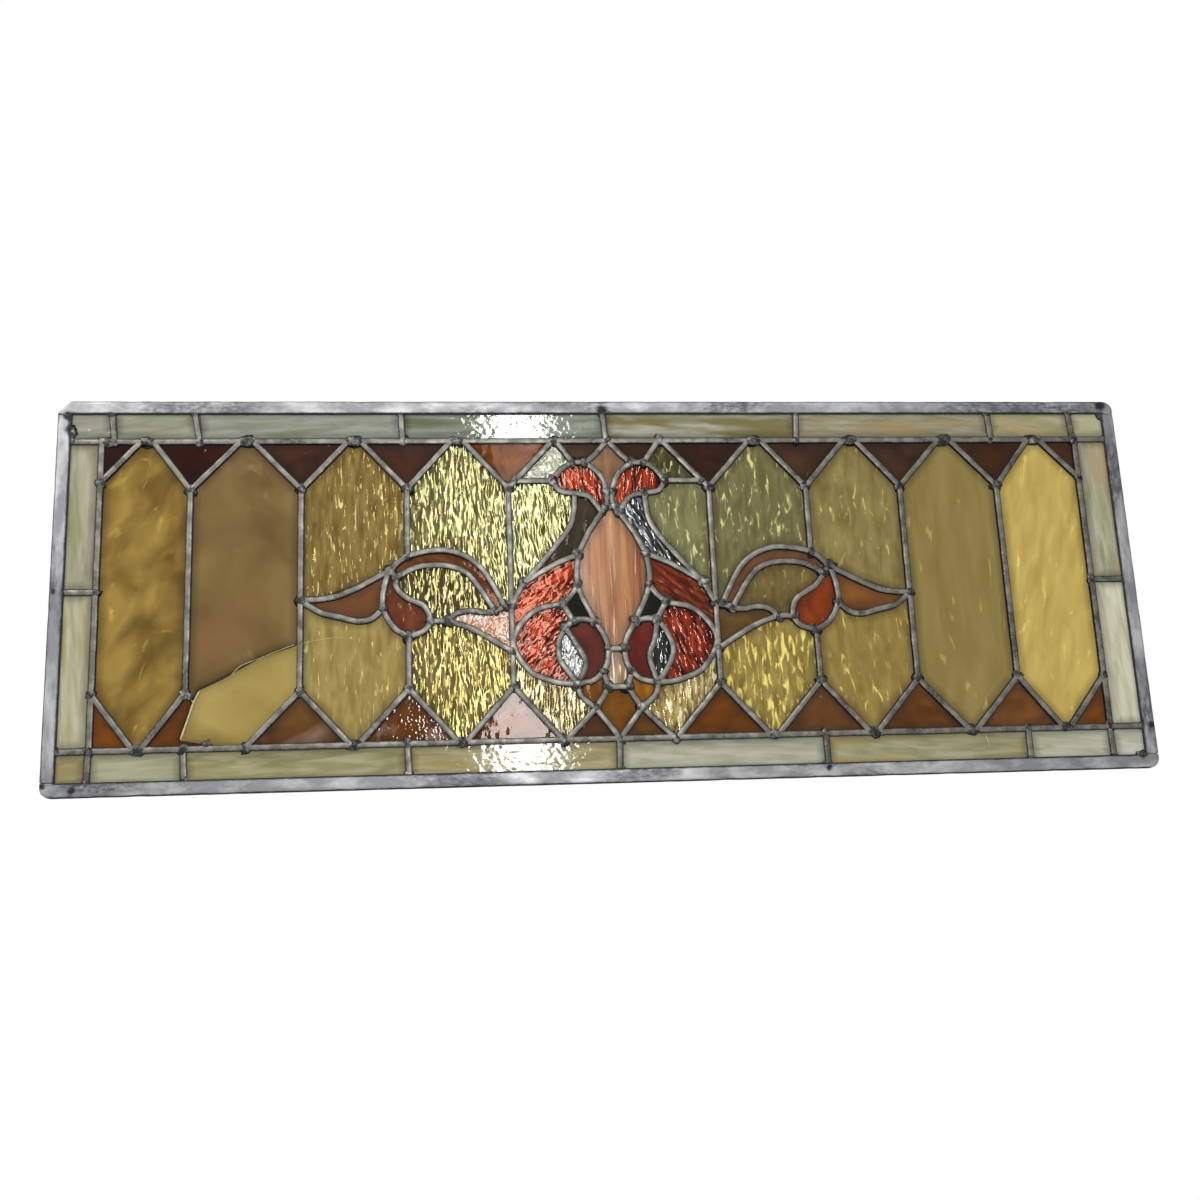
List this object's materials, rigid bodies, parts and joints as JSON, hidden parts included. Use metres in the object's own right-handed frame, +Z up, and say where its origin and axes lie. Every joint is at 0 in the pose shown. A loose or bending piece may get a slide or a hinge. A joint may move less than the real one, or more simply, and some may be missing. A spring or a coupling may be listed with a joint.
{
  "type": "leaded stained glass transom panel",
  "caption": "Wide leaded glass window panel: coloured glass in lead cames, a milky border, gabled panes and a winged ornament in the middle, made to be built into a frame.",
  "frame": {"origin": "middle of the lower edge, half-way through the thickness, where the panel stands in its sash", "axes": "+X along the panel to the right as seen from the front, +Z up, -Y out of the front face"},
  "size_m": [1, 0.0066, 0.361],
  "materials": {
    "lead_rim": "flat lead came, soft grey with lilac and dark patina, whitish where it was soldered",
    "lead_came": "milled lead came, grey, rubbed lighter along the middle, darker at the joints",
    "opal_border": "milky opalescent glass, grey-green with olive and caramel streaks",
    "gold_glass": "streaky golden cathedral glass",
    "brown_gold_glass": "streaky brown-gold cathedral glass",
    "ripple_glass": "yellow-green glass with a strong upright ripple",
    "olive_glass": "olive-green glass with a soft upright ripple",
    "oxblood_glass": "very dark red-brown glass",
    "chestnut_glass": "red-brown wavy glass",
    "amber_glass": "clear amber glass",
    "red_glass": "bright red glass with a fine drawn ripple",
    "wine_glass": "smooth wine-red glass",
    "spindle_glass": "orange and tan opalescent glass with upright streaks",
    "peach_glass": "peach glass with a mirror-like surface",
    "smoke_glass": "smoke-grey rippled glass",
    "bottle_glass": "near-black bottle-green glass"
  },
  "bodies": {
    "root": {"border_glass_foot": "opal_border", "border_glass_left": "opal_border", "border_glass_right": "opal_border", "border_glass_top": "opal_border", "came_network": "lead_came", "cracked_pane": "brown_gold_glass", "diamond": "amber_glass", "foot_row": "chestnut_glass", "left_amber_piece": "amber_glass", "left_arch": "chestnut_glass", "left_corner_piece": "bottle_glass", "left_eye": "smoke_glass", "left_foot_pane": "ripple_glass", "left_gable_pane": "ripple_glass", "left_horn": "smoke_glass", "left_horn_pane": "ripple_glass", "left_in_arch_pane": "ripple_glass", "left_inner_leaf": "peach_glass", "left_outer_leaf": "chestnut_glass", "left_over_arch_pane": "ripple_glass", "left_over_leaf_pane": "gold_glass", "left_red_cap": "red_glass", "left_red_leaf": "red_glass", "left_red_lobe": "red_glass", "left_teardrop": "chestnut_glass", "left_under_arch_pane": "ripple_glass", "left_under_leaf_pane": "gold_glass", "left_wine_lobe": "wine_glass", "pane_far_left": "brown_gold_glass", "pane_far_right": "gold_glass", "pane_right": "gold_glass", "peak_piece": "spindle_glass", "right_amber_piece": "amber_glass", "right_arch": "chestnut_glass", "right_corner_piece": "bottle_glass", "right_eye": "smoke_glass", "right_foot_pane": "ripple_glass", "right_gable_pane": "olive_glass", "right_horn": "smoke_glass", "right_horn_pane": "olive_glass", "right_in_arch_pane": "olive_glass", "right_inner_leaf": "chestnut_glass", "right_outer_leaf": "chestnut_glass", "right_over_arch_pane": "olive_glass", "right_over_leaf_pane": "gold_glass", "right_red_cap": "red_glass", "right_red_leaf": "red_glass", "right_red_lobe": "red_glass", "right_teardrop": "red_glass", "right_under_arch_pane": "ripple_glass", "right_under_leaf_pane": "gold_glass", "right_wine_lobe": "wine_glass", "rim_came_foot": "lead_rim", "rim_came_left": "lead_rim", "rim_came_right": "lead_rim", "rim_came_top": "lead_rim", "slipped_shard": "gold_glass", "spindle": "spindle_glass", "spindle_foot": "spindle_glass", "top_row": "oxblood_glass"}
  },
  "joints": []
}
